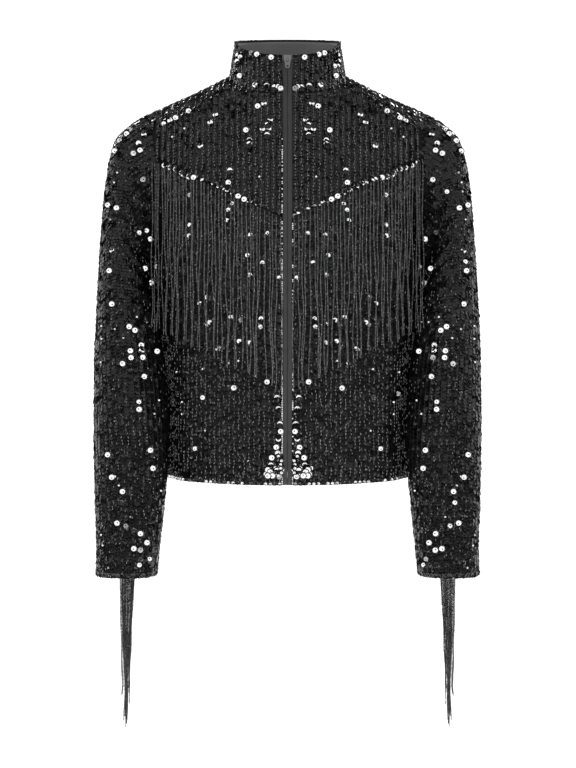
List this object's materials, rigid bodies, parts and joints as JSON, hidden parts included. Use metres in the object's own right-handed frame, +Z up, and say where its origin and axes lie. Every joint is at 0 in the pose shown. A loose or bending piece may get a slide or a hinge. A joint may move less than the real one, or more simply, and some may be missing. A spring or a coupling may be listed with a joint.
{
  "type": "fringe bomber jacket",
  "caption": "Cropped bomber jacket with a stand collar, front zip, long sleeves, sequinned cloth, bead fringe under pointed front yokes and a bead tassel at each cuff.",
  "frame": {"origin": "middle of the neck opening, level with the points where the shoulder seams meet the collar, where the wearer holds the jacket", "axes": "+Z up along the jacket's height, -Y towards the front, +X towards the wearer's left"},
  "size_m": [0.503, 0.2379, 0.9223],
  "materials": {
    "sequin_cloth": "black net sewn all over with glossy black cup sequins",
    "facing_cloth": "smooth dark grey facing inside the collar",
    "zip_tape": "dark grey woven zip tape",
    "zip_nylon": "black nylon coil and moulded end",
    "zip_metal": "gunmetal grey plated slider and pull tab",
    "beads": "threaded black seed beads"
  },
  "bodies": {
    "jacket": {"front_left": "sequin_cloth", "front_right": "sequin_cloth", "yoke_left": "sequin_cloth", "yoke_right": "sequin_cloth", "back": "sequin_cloth", "sleeve_left": "sequin_cloth", "sleeve_right": "sequin_cloth", "collar": "sequin_cloth", "collar_facing": "facing_cloth", "zip_tape_left": "zip_tape", "zip_tape_right": "zip_tape", "zip_chain": "zip_nylon", "zip_box": "zip_nylon", "zip_slider": "zip_metal", "fringe_left": "beads", "fringe_right": "beads", "tassel_left": "beads", "tassel_right": "beads"},
    "tab": {"pull_tab": "zip_metal"}
  },
  "joints": [
    {"name": "pull_tab_swing", "type": "hinge", "parent": "jacket", "child": "tab", "pos_m": [0, -0.07859, 0.01353], "axis": [-1, 0, 0], "range_deg": [0, 165]}
  ]
}
